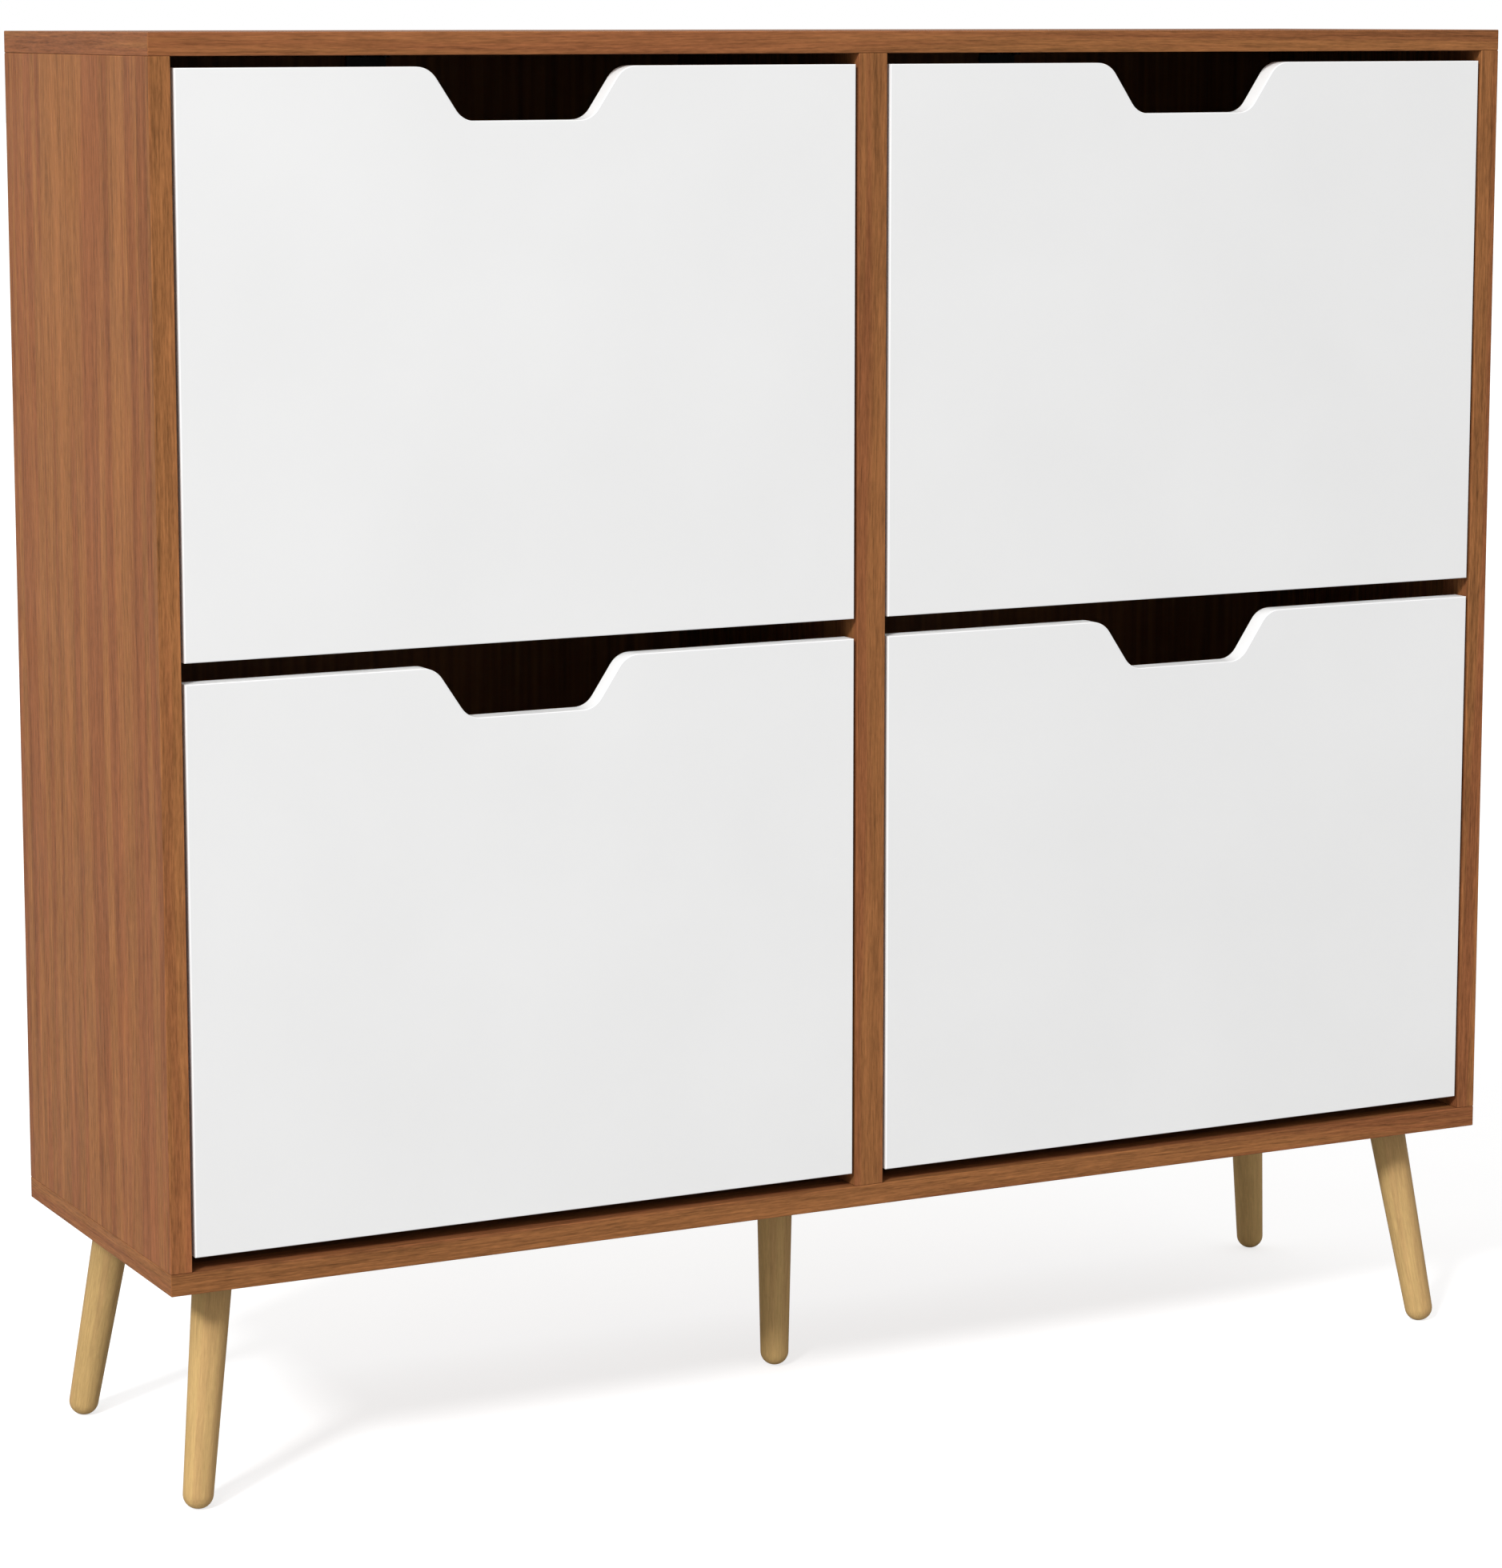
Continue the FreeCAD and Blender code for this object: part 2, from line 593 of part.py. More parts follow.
# ---- flap and rack, built round the pivot axis and the middle plane of a column ----------------------
def flap_panel():
    """The white front: a board with a trapezoid finger notch in its top edge."""
    half = FLAP_WIDTH / 2
    low = -PIVOT_UP
    high = low + FLAP_HEIGHT
    corners = [
        (-half, low, 0),
        (half, low, 0),
        (half, high, 0),
        (NOTCH_TOP / 2, high, NOTCH_TOP_RADIUS),
        (NOTCH_FLOOR / 2, high - NOTCH_DEPTH, NOTCH_FLOOR_RADIUS),
        (-NOTCH_FLOOR / 2, high - NOTCH_DEPTH, NOTCH_FLOOR_RADIUS),
        (-NOTCH_TOP / 2, high, NOTCH_TOP_RADIUS),
        (-half, high, 0),
    ]
    face = rounded_face(corners, lambda p: Vector(p.x, -PIVOT_BACK, p.y))
    board = face.extrude(Vector(0, BOARD, 0))
    middle = BOARD / 2 - PIVOT_BACK
    rims = [e for e in board.Edges if abs(e.CenterOfMass.y - middle) > BOARD / 4]
    board = board.makeFillet(EDGE, rims)
    holes = [screw_hole((x, FLAP_BACK, z), (0, -1, 0), FLANGE_SCREW_DEPTH) for x, z in flange_screw_places()]
    return cut(board, holes)


def flange_screw_places():
    inset = COLUMN / 2 - BRACKET_GAP - BRACKET_PLATE - FLANGE_WIDTH / 2
    return [(sign * inset, z) for sign in (-1, 1) for z in FLANGE_SCREWS_UP]


def slant(shape):
    """Moves a shape from the bins' own frame, which leans back, to the flap's frame."""
    moved = shape.copy()
    moved.rotate(Vector(0, 0, 0), Vector(1, 0, 0), -RACK_TILT)
    moved.translate(Vector(0, FLAP_BACK, RACK_FLOOR))
    return moved


def slant_point(along, up):
    tilt = math.radians(RACK_TILT)
    y = FLAP_BACK + along * math.cos(tilt) + up * math.sin(tilt)
    z = RACK_FLOOR - along * math.sin(tilt) + up * math.cos(tilt)
    return y, z


def rack_boards():
    """name: (from and to along the bins' floor, from and to up it)"""
    middle = (FRONT_BIN, FRONT_BIN + RACK_BOARD)
    rear = (middle[1] + REAR_BIN, middle[1] + REAR_BIN + RACK_BOARD)
    return {
        "front_shelf": ((FLANGE + SHELF_GAP, middle[0]), (-RACK_BOARD, 0.0)),
        "middle_board": (middle, (-RACK_BOARD, MIDDLE_BOARD_TOP)),
        "rear_shelf": ((middle[1], rear[0]), (BIN_STEP, BIN_STEP + RACK_BOARD)),
        "rear_board": (rear, (BIN_STEP, REAR_BOARD_TOP)),
    }


def rack_board(name):
    along, up = rack_boards()[name]
    half = BOARD_LENGTH / 2
    board = box((-half, half), along, up)
    long_edges = [e for e in board.Edges if e.Length > half]
    board = slant(board.makeFillet(RACK_ROUND, long_edges))
    holes = []
    for x, y, z, way in board_screw_places():
        holes.append(screw_hole((x, y, z), (way, 0, 0), RACK_SCREW_LENGTH, RACK_SCREW_RADIUS))
    return cut(board, holes)


def board_screw_places():
    """Faces of the countersunk screws that run through the bracket plates into the board ends."""
    places = []
    face = COLUMN / 2 - BRACKET_GAP
    for along, up in rack_boards().values():
        wide = along[1] - along[0] > up[1] - up[0]
        for share in RACK_SCREW_SHARES:
            a = along[0] + (along[1] - along[0]) * (share if wide else 0.5)
            b = up[0] + (up[1] - up[0]) * (0.5 if wide else share)
            for sign in (-1, 1):
                places.append((sign * face, *slant_point(a, b), -sign))
    return places


def rack_screws():
    solids = []
    for x, z in flange_screw_places():
        solids.append(screw((x, FLAP_BACK + FLANGE, z), (0, -1, 0), FLANGE + FLANGE_SCREW_DEPTH))
    thin = (RACK_SCREW_LENGTH, RACK_SCREW_RADIUS, RACK_SCREW_HEAD_RADIUS)
    for x, y, z, way in board_screw_places():
        solids.append(screw((x, y, z), (way, 0, 0), *thin, countersunk=True))
    return solids


def ribs():
    """Rails on the plate's inner face that hold the board ends."""
    inner = (0, RIB_REACH)
    rails = []
    for along, up in rack_boards().values():
        wide = along[1] - along[0] > up[1] - up[0]
        if wide:
            rails.append((along, (up[0] - FIT - RIB, up[0] - FIT)))
            rails.append((along, (up[1] + FIT, up[1] + FIT + RIB)))
        else:
            rails.append(((along[0] - FIT - RIB, along[0] - FIT), up))
            rails.append(((along[1] + FIT, along[1] + FIT + RIB), up))
    return [slant(box(inner, along, up)) for along, up in rails]


def board_pockets():
    """Room for the boards, a little larger than they are."""
    pockets = []
    for along, up in rack_boards().values():
        grown = [(low - FIT, high + FIT) for low, high in (along, up)]
        pockets.append(slant(box((0, 2 * RIB_REACH), *grown)))
    return pockets


def arc_slot():
    """The curved slot that the stop pin runs in, centred on the pivot."""
    width = STOP_PIN + STOP_PLAY
    play = math.degrees(STOP_PLAY / STOP_RADIUS)
    first = STOP_ANGLE + play - STOP_PLAY
    last = STOP_ANGLE - OPEN_ANGLE - play + STOP_PLAY
    low, high = -2 * BRACKET_PLATE, 2 * BRACKET_PLATE

    def sector(radius):
        wedge = Part.makeCylinder(radius, high - low, Vector(low, 0, 0), Vector(1, 0, 0), first - last)
        corner = wedge_start(wedge, radius)
        drawn = math.degrees(math.atan2(corner.z, corner.y))
        wedge.rotate(Vector(0, 0, 0), Vector(1, 0, 0), last - drawn)
        return wedge

    band = sector(STOP_RADIUS + width).cut(sector(STOP_RADIUS - width))
    ends = []
    for angle in (first, last):
        y = STOP_RADIUS * math.cos(math.radians(angle))
        z = STOP_RADIUS * math.sin(math.radians(angle))
        ends.append(rod(width, (low, y, z), (1, 0, 0), high - low))
    return band.fuse(ends)


def wedge_start(wedge, radius):
    """The rim corner of a cylinder sector that lies first, going from +Y to +Z."""
    rim = [v.Point for v in wedge.Vertexes if math.hypot(v.Point.y, v.Point.z) > radius / 2]
    one, other = rim[0], max(rim, key=lambda p: math.hypot(p.y - rim[0].y, p.z - rim[0].z))
    turn = one.y * other.z - one.z * other.y
    return one if turn > 0 else other


def bracket_outline():
    """(y, z, corner radius) round the plate: the flap's edge, the bins' floors and the swept top."""
    boards = rack_boards()
    floor_end = boards["middle_board"][0][1] + PLATE_MARGIN
    rear_end = boards["rear_board"][0][1] + PLATE_MARGIN
    under_rear = BIN_STEP - RIB - PLATE_MARGIN
    return [
        (FLAP_BACK, -PIVOT_UP + 6, 3),
        (*slant_point(floor_end, -RACK_BOARD - RIB), 6),
        (*slant_point(floor_end, under_rear), 8),
        (*slant_point(rear_end, under_rear), 10),
        (*slant_point(rear_end, REAR_BOARD_TOP + PLATE_MARGIN), 14),
        (*slant_point(floor_end, MIDDLE_BOARD_TOP + PLATE_MARGIN), 30),
        (FLAP_BACK + 30, BRACKET_TOP - 40, 25),
        (FLAP_BACK + 18, BRACKET_TOP, 9),
        (FLAP_BACK, BRACKET_TOP, 3),
    ]


def inward(shapes):
    """Moves shapes from the plate's outer face to its inner face."""
    return [shape.translated(Vector(BRACKET_PLATE, 0, 0)) for shape in shapes]


def bracket():
    """The left bracket, drawn with its outer face at x = 0 and its ribs towards +X, then moved into place."""
    face = rounded_face(bracket_outline(), lambda p: Vector(0, p.x, p.y))
    plate_body = face.extrude(Vector(BRACKET_PLATE, 0, 0))
    flange_up = (-PIVOT_UP + 9, BRACKET_TOP - 3)
    flange = box((0, BRACKET_PLATE + FLANGE_WIDTH), (FLAP_BACK, FLAP_BACK + FLANGE), flange_up)
    boss = rod(BOSS_RADIUS, (0, 0, 0), (1, 0, 0), BOSS_DEPTH)
    body = join(plate_body, flange, boss, *inward(ribs()))
    bore = rod(PIVOT_RADIUS + RUNNING, (-1, 0, 0), (1, 0, 0), BOSS_DEPTH + 2)
    shift = COLUMN / 2 - BRACKET_GAP
    holes = [bore, arc_slot(), *inward(board_pockets())]
    for x, z in flange_screw_places():
        if x < 0:
            holes.append(rod(SCREW_RADIUS + FIT, (x + shift, FLAP_BACK - 1, z), (0, 1, 0), FLANGE + 2))
    thin = RACK_SCREW_RADIUS + FIT
    for _, y, z, way in board_screw_places():
        if way > 0:
            holes.append(cone(RACK_SCREW_HEAD_RADIUS + FIT, thin, (0, y, z), (1, 0, 0), SCREW_HEAD))
            holes.append(rod(thin, (0, y, z), (1, 0, 0), BRACKET_PLATE + 1))
    return cut(body, holes).translated(Vector(-shift, 0, 0))


def rack():
    """Every piece that tips out with a flap, by its name."""
    left = bracket()
    pieces = {
        "flap_panel": flap_panel(),
        "bracket_left": left,
        "bracket_right": left.mirror(Vector(0, 0, 0), Vector(1, 0, 0)),
    }
    for name in rack_boards():
        pieces[name] = rack_board(name)
    pieces["rack_screws"] = Part.makeCompound(rack_screws())
    return pieces


# ---- export ----------------------------------------------------------------------------------------
def main():
    os.makedirs("parts", exist_ok=True)
    nodes = {
        "top_panel": top_panel(),
        "bottom_panel": bottom_panel(),
        "side_panel_left": side_panel(-1),
        "side_panel_right": side_panel(1),
        "center_divider": divider(),
        "back_sheet_left": back_sheet(-1),
        "back_sheet_right": back_sheet(1),
        "back_sheet_nails": Part.makeCompound(nails()),
        "cam_locks": Part.makeCompound(cams()),
        "cam_bolts": Part.makeCompound(cam_bolts()),
        "wood_dowels": Part.makeCompound(dowels()),
        "pivot_pins": Part.makeCompound(pins(True)),
        "stop_pins": Part.makeCompound(pins(False)),
        "wall_brackets": Part.makeCompound(wall_brackets()),
        "wall_bracket_screws": Part.makeCompound(wall_bracket_screws()),
        "leg_plate_screws": Part.makeCompound(plate_screws()),
        "leg_studs": Part.makeCompound([stud(*place) for place in leg_places()]),
        "middle_leg": leg(0, 0, 0, 0, MIDDLE_LEG_SHORT),
        "middle_leg_plate": plate(0, 0, 0, 0),
    }
    for name, *place in corner_legs():
        nodes[name] = leg(*place)
        nodes[name + "_plate"] = plate(*place)
    for piece, shape in rack().items():
        for column, sign in COLUMNS.items():
            for row, bottom in FLAP_BOTTOM.items():
                moved = shape.copy()
                moved.translate(Vector(sign * COLUMN_MIDDLE, PIVOT_Y, bottom + PIVOT_UP))
                nodes[f"{row}_{column}_{piece}"] = moved
    for name, shape in nodes.items():
        if not shape.isValid() or not shape.Solids:
            print("check", name, "valid", shape.isValid(), "solids", len(shape.Solids))
        shape.exportStep(f"parts/{name}.step")
    print(len(nodes), "nodes")


main()
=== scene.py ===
"""The looks of the four-flap shoe cabinet: materials, floor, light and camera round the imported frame."""

import math

import bpy
from mathutils import Euler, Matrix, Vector


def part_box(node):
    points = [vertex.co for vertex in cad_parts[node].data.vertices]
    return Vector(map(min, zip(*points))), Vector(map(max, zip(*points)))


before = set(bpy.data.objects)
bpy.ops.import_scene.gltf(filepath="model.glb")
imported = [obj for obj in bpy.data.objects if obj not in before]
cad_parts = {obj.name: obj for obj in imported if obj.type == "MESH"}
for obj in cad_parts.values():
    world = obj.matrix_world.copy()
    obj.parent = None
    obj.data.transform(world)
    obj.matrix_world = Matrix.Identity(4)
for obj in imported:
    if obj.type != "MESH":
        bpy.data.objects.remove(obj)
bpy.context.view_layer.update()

MM = 0.001

# ---- camera: metres and degrees; lens and sensor in millimetres, shift in picture widths ------------
CAMERA_PLACE = (-1.507, -2.922, 0.990)
CAMERA_YAW = 26.98
CAMERA_PITCH = 8.43
CAMERA_LENS = 109.9
SENSOR_WIDTH = 36.0
CAMERA_SHIFT = -0.06

# ---- floor and light -------------------------------------------------------------------------------
FLOOR_RADIUS = 40.0
FLOOR_RIM = 96  # corners round the floor
FLOOR_TONE = 0.50
FLOOR_GLOW = 0.70  # added for the camera only, so that a lit floor shows as white
FLOOR_MOTTLE_SCALE = 3.0
FLOOR_MOTTLE_DEPTH = 0.02  # how far the floor's tone strays either way
AMBIENT = 0.64
SUN_POWER = 2.15
SUN_SPREAD = 9.0
SUN_FROM = (-0.65, -0.52, 0.55)
KEY_POWER = 24.5
KEY_PLACE = (-2.0, -1.7, 2.3)
KEY_AIM = (-0.2, -0.1, 0.9)
KEY_SIZE = 1.2
PURE_WHITE = (1.0, 1.0, 1.0)

# ---- colours, linear -------------------------------------------------------------------------------
WALNUT = (0.285, 0.117, 0.041)
WALNUT_RED = (0.241, 0.086, 0.034)
OAK = (0.512, 0.340, 0.140)
OAK_RED = (0.462, 0.290, 0.123)
LEG_PAINTED_LIGHT_AND_SHADE = {"rear_left_leg": 0.93, "middle_leg": 1.05, "rear_right_leg": 1.10}  # brightness per leg: painted light on the shaded middle and rear right legs, painted shade on the rear left leg; the other legs are 1
WHITE = [(0.745, 0.745, 0.743), (0.765, 0.765, 0.763)]
# Painted highlight: the white board's edge faces take this brighter white instead of the faces' white.
EDGE_HIGHLIGHT_WHITE = (0.93, 0.93, 0.925)
SCUFFED_WHITE = (0.72, 0.715, 0.70)
BARE_FIBRE = [(0.32, (0.19, 0.105, 0.052)), (0.5, (0.29, 0.172, 0.088)), (0.68, (0.39, 0.25, 0.14))]

# Each list holds a dark tone, a light tone and the tone of rubbed edges.
BROWN_PLASTIC = [(0.035, 0.020, 0.014), (0.050, 0.030, 0.020), (0.12, 0.08, 0.06)]
ZINC_PLATE = [(0.50, 0.51, 0.53), (0.62, 0.63, 0.65), (0.8, 0.8, 0.8)]
PIN_STEEL = [(0.42, 0.43, 0.45), (0.55, 0.56, 0.58), (0.75, 0.75, 0.75)]
CAST_ZINC = [(0.36, 0.37, 0.39), (0.48, 0.49, 0.51), (0.65, 0.65, 0.66)]
# Black paint; on the wall brackets it is also painted shade, as dark as the shade in the gaps they show
# through.
BLACK_PAINT_AND_PAINTED_SHADE = [(0.018, 0.018, 0.019), (0.03, 0.03, 0.032), (0.10, 0.10, 0.10)]

# ---- wood grain ------------------------------------------------------------------------------------
# Each layer of noise: the factor that draws it out along the grain, scale per metre, detail and offset.
BANDS = (0.014, 62.0, 2.0, 0.0)
HUES = (0.02, 62.0, 2.0, 1.3)
STREAKS = (0.035, 260.0, 3.0, 2.6)
FIBRES = (0.04, 760.0, 3.0, 3.9)
GRIT = (0.11, 1250.0, 2.0, 9.1)
ARCHES = (0.10, 9.0, 0.0, 5.2)
PORE_PATCHES = (0.15, 60.0, 1.0, 6.5)
PORES = (0.045, 1000.0, 1.0, 7.8)
GRAIN_ROUGHNESS = 0.55

# The range of a layer's values that counts, and what its two ends give.
REDNESS = (0.45, 0.57, 0.12, 0.90)
PATCHINESS = (0.42, 0.60, 0.1, 1.0)
POROSITY = (0.60, 0.72, 0.0, 1.0)

BAND_WEIGHT = 0.50
STREAK_WEIGHT = 0.44
FIBRE_WEIGHT = 0.80
GRIT_WEIGHT = 0.55
ARCH_WEIGHT = 0.018
ARCH_RATE = 130.0  # radians of the arches' sine wave for one unit of their noise
GRAIN_CONTRAST = 1.5
PORE_DARKENING = 0.22
PORE_ROUGHENING = 0.12
EDGE_LIGHTENING = 0.10
FIBRE_RELIEF = 0.6
PORE_RELIEF = 0.8

# The slow sideways wander of the grain.
SWAY_STRETCH = 0.2
SWAY_SCALE = 8.0
SWAY_WIDTH = 0.018

LEG_GIRTH = 23.5 * MM  # about a leg's radius at the top plus its radius at the tip
STRAIGHT_LEG_WIDTH = 30 * MM  # a leg whose box is narrower than this has no splay

# ---- shared by the finishes ------------------------------------------------------------------------
NOISE_LOW = 0.3  # nearly all of a noise lies between these
NOISE_HIGH = 0.7
EDGE_LIKENESS = 0.75  # how alike the softened and the true normal are at a full edge, and on a flat face
FLAT_LIKENESS = 0.99
SKEW = (1.7, 2.3, 3.1)  # how far one step of a board's seed moves it through the grain, in metres
END_FACE = 0.7  # a face counts as a board's end when its normal is this much along the grain
FRONT_FACE = -0.5  # a face counts as turned to the front when its normal's Y is below this


# ---- node helpers ----------------------------------------------------------------------------------
class Graph:
    """A material's node tree, built from Python calls."""

    def __init__(self, name):
        self.material = bpy.data.materials.new(name)
        self.material.use_nodes = True
        self.tree = self.material.node_tree
        self.tree.nodes.clear()
        self.output = self.tree.nodes.new("ShaderNodeOutputMaterial")

    def add(self, kind, values=None, **settings):
        node = self.tree.nodes.new("ShaderNode" + kind)
        for key, value in settings.items():
            setattr(node, key, value)
        for key, value in (values or {}).items():
            self.put(node.inputs[key], value)
        return node

    def put(self, socket, value):
        if isinstance(value, bpy.types.NodeSocket):
            self.tree.links.new(value, socket)
        else:
            socket.default_value = value

    def place(self):
        return self.add("TexCoord").outputs["Object"]

    def part_of(self, vector, axis):
        """One coordinate of a vector."""
        return self.add("SeparateXYZ", {0: vector}).outputs["XYZ".index(axis)]

    def math(self, operation, a, b=0.0):
        return self.add("Math", {0: a, 1: b}, operation=operation).outputs[0]

    def vector(self, operation, a, b):
        return self.add("VectorMath", {0: a, 1: b}, operation=operation).outputs[0]

    def noise(self, place, scale, detail=2.0, roughness=0.5):
        values = {"Vector": place, "Scale": scale, "Detail": detail, "Roughness": roughness}
        return self.add("TexNoise", values).outputs["Fac"]

    def ramp(self, factor, stops):
        node = self.add("ValToRGB", {"Fac": factor})
        elements = node.color_ramp.elements
        while len(elements) < len(stops):
            elements.new(0.5)
        for element, (place, colour) in zip(elements, stops):
            element.position = place
            element.color = (*colour, 1.0)
        return node.outputs["Color"]

    def two_tones(self, noise, tones):
        """From the first tone to the second over a noise's usual range."""
        return self.ramp(noise, [(NOISE_LOW, tones[0]), (NOISE_HIGH, tones[1])])

    def mix(self, factor, a, b):
        """Two colours mixed; a Mix node keeps its colour pair in sockets 6 and 7."""
        node = self.add("Mix", data_type="RGBA")
        self.put(node.inputs["Factor"], factor)
        for index, colour in ((6, a), (7, b)):
            linked = isinstance(colour, bpy.types.NodeSocket)
            self.put(node.inputs[index], colour if linked else (*colour, 1.0))
        return node.outputs[2]

    def scaled(self, colour, factor):
        """A colour made lighter or darker by a factor that may vary."""
        return self.add("VectorMath", {0: colour, 3: factor}, operation="SCALE").outputs[0]

    def range(self, value, low, high, to_low, to_high):
        values = {"Value": value, "From Min": low, "From Max": high, "To Min": to_low, "To Max": to_high}
        return self.add("MapRange", values, clamp=True).outputs["Result"]

    def spread(self, noise, to_low, to_high):
        """A noise's usual range laid out between two values."""
        return self.range(noise, NOISE_LOW, NOISE_HIGH, to_low, to_high)

    def bump(self, height, strength, distance):
        values = {"Height": height, "Strength": strength, "Distance": distance}
        return self.add("Bump", values).outputs["Normal"]

    def edges(self, radius):
        """About 0 on flat faces and towards 1 on the rounded edges."""
        soft = self.add("Bevel", {"Radius": radius}, samples=4).outputs["Normal"]
        true = self.add("NewGeometry").outputs["Normal"]
        likeness = self.add("VectorMath", {0: soft, 1: true}, operation="DOT_PRODUCT").outputs["Value"]
        return self.range(likeness, EDGE_LIKENESS, FLAT_LIKENESS, 1.0, 0.0)

    def rubbed(self, colour, tone, radius, strength):
        """A colour with another tone laid over its rounded edges."""
        return self.mix(self.math("MULTIPLY", self.edges(radius), strength), colour, tone)

    def surface(self, **values):
        named = {key.replace("_", " ").title().replace("Ior", "IOR"): value for key, value in values.items()}
        shader = self.add("BsdfPrincipled", named)
        self.tree.links.new(shader.outputs[0], self.output.inputs["Surface"])
        return self.material


# ---- wood ------------------------------------------------------------------------------------------
def turned_place(g, place, axis):
    """The same place with the grain's axis moved to the third coordinate."""
    if axis == "Z":
        return place
    parts = g.add("SeparateXYZ", {0: place}).outputs
    order = {"X": (1, 2, 0), "Y": (0, 2, 1)}[axis]
    return g.add("CombineXYZ", {i: parts[n] for i, n in enumerate(order)}).outputs[0]


def grain_place(g, axis, end_axis, seed):
    """Coordinates with the grain along the third one; faces square to the grain take end_axis instead."""
    place = g.place()
    main = turned_place(g, place, axis)
    if end_axis:
        normal = g.part_of(g.add("NewGeometry").outputs["Normal"], axis)
        facing = g.math("GREATER_THAN", g.math("ABSOLUTE", normal), END_FACE)
        mixed = g.add("Mix", {"Factor": facing}, data_type="VECTOR")
        g.put(mixed.inputs[4], main)  # a Mix node keeps its vector pair in sockets 4 and 5
        g.put(mixed.inputs[5], turned_place(g, place, end_axis))
        main = mixed.outputs[1]
    return g.vector("ADD", main, tuple(seed * step for step in SKEW))


def wood(name, place_of, plain, red, roughness=0.42, depth=1.0, fine=1.0, shade=1.0):
    """Straight-grained wood: two hues, and bands, streaks, fibres, faint arches and short dark pores."""
    g = Graph(name)
    place = place_of(g)
    sway = g.noise(g.vector("MULTIPLY", place, (1.0, 1.0, SWAY_STRETCH)), SWAY_SCALE * fine)
    push = g.math("MULTIPLY", g.math("SUBTRACT", sway, 0.5), SWAY_WIDTH / fine)
    curved = g.vector("ADD", place, g.add("CombineXYZ", {0: push, 1: push}).outputs[0])

    def layer(stretch, scale, detail, shift):
        where = g.vector("MULTIPLY", g.vector("ADD", curved, (shift, shift, shift)), (1.0, 1.0, stretch))
        return g.noise(where, scale * fine, detail, GRAIN_ROUGHNESS)

    fibres = layer(*FIBRES)
    arches = g.math("SINE", g.math("MULTIPLY", layer(*ARCHES), ARCH_RATE))
    tone = g.math("MULTIPLY", arches, ARCH_WEIGHT)
    parts = [
        (layer(*BANDS), BAND_WEIGHT),
        (layer(*STREAKS), STREAK_WEIGHT),
        (fibres, FIBRE_WEIGHT),
        (layer(*GRIT), GRIT_WEIGHT),
    ]
    for part, weight in parts:
        tone = g.math("ADD", tone, g.math("MULTIPLY", g.math("SUBTRACT", part, 0.5), weight))
    redness = g.range(layer(*HUES), *REDNESS)
    patches = g.range(layer(*PORE_PATCHES), *PATCHINESS)
    pore = g.math("MULTIPLY", g.range(layer(*PORES), *POROSITY), patches)
    gain = g.math("ADD", g.math("MULTIPLY", tone, GRAIN_CONTRAST * depth), shade)
    gain = g.math("SUBTRACT", gain, g.math("MULTIPLY", pore, PORE_DARKENING * depth))
    gain = g.math("ADD", gain, g.math("MULTIPLY", g.edges(1.2 * MM), EDGE_LIGHTENING))
    colour = g.scaled(g.mix(redness, plain, red), gain)
    smudge = g.spread(g.noise(place, scale=14.0, detail=3.0), roughness - 0.05, roughness + 0.06)
    rough = g.math("ADD", smudge, g.math("MULTIPLY", pore, PORE_ROUGHENING))
    raised = g.math("MULTIPLY", fibres, FIBRE_RELIEF)
    height = g.math("SUBTRACT", raised, g.math("MULTIPLY", pore, PORE_RELIEF))
    normal = g.bump(height, strength=0.20, distance=0.2 * MM)
    return g.surface(base_color=colour, roughness=rough, normal=normal, specular_ior_level=0.04)


def board(axis, end_axis, seed, **options):
    """A board with its grain along axis; its end faces take end_axis, or stay end grain if that is None."""
    name = f"walnut_{axis}{end_axis or ''}_{seed}"
    return wood(name, lambda g: grain_place(g, axis, end_axis, seed), WALNUT, WALNUT_RED, **options)


# ---- other finishes --------------------------------------------------------------------------------
def white_board():
    """White coated board: faint mottling, a fine pearl texture, slightly handled edges, and edge bands
    painted brighter than the faces as a painted highlight.
    """
    g = Graph("white_board")
    place = g.place()
    colour = g.two_tones(g.noise(place, scale=7.0, detail=3.0), WHITE)
    across = g.part_of(g.add("TexCoord").outputs["Normal"], "Y")
    edge_highlight_mask = g.range(g.math("ABSOLUTE", across), 0.5, 0.95, 1.0, 0.0)  # 1 on the edges, 0 on the two faces: where the painted edge highlight goes
    # painted highlight: the edge faces take the brighter white
    colour = g.mix(edge_highlight_mask, colour, EDGE_HIGHLIGHT_WHITE)
    handled = g.range(g.noise(place, scale=60.0, detail=3.0), 0.5, 0.75, 0.0, 0.35)
    scuff = g.math("MULTIPLY", g.edges(1.0 * MM), handled)
    colour = g.mix(scuff, colour, SCUFFED_WHITE)
    smudge = g.spread(g.noise(place, scale=24.0, detail=4.0), 0.34, 0.42)
    rough = g.math("ADD", smudge, g.math("MULTIPLY", scuff, 0.3))
    normal = g.bump(g.noise(place, scale=1400.0), strength=0.10, distance=0.08 * MM)
    return g.surface(base_color=colour, roughness=rough, normal=normal, specular_ior_level=0.3)


def back_sheet():
    """Thin fibreboard: wood print on the face towards the front, bare pressed fibres behind."""
    g = Graph("back_sheet")
    place = g.place()
    streaks = g.noise(g.vector("MULTIPLY", place, (1.0, 1.0, 0.03)), scale=180.0, detail=3.0)
    printed = g.scaled(WALNUT, g.range(streaks, 0.34, 0.66, 0.75, 1.15))
    fleck = g.noise(g.vector("MULTIPLY", place, (1.0, 1.0, 0.7)), scale=420.0, detail=4.0, roughness=0.7)
    clumps = g.noise(place, scale=55.0, detail=4.0, roughness=0.6)
    mottle = g.math("ADD", g.math("MULTIPLY", fleck, 0.75), g.math("MULTIPLY", clumps, 0.25))
    across = g.part_of(g.add("NewGeometry").outputs["Normal"], "Y")
    behind = g.math("GREATER_THAN", across, FRONT_FACE)
    colour = g.mix(behind, printed, g.ramp(mottle, BARE_FIBRE))
    rough = g.range(fleck, 0.35, 0.65, 0.5, 0.75)
    normal = g.bump(fleck, strength=0.25, distance=0.2 * MM)
    return g.surface(base_color=colour, roughness=rough, normal=normal, specular_ior_level=0.3)


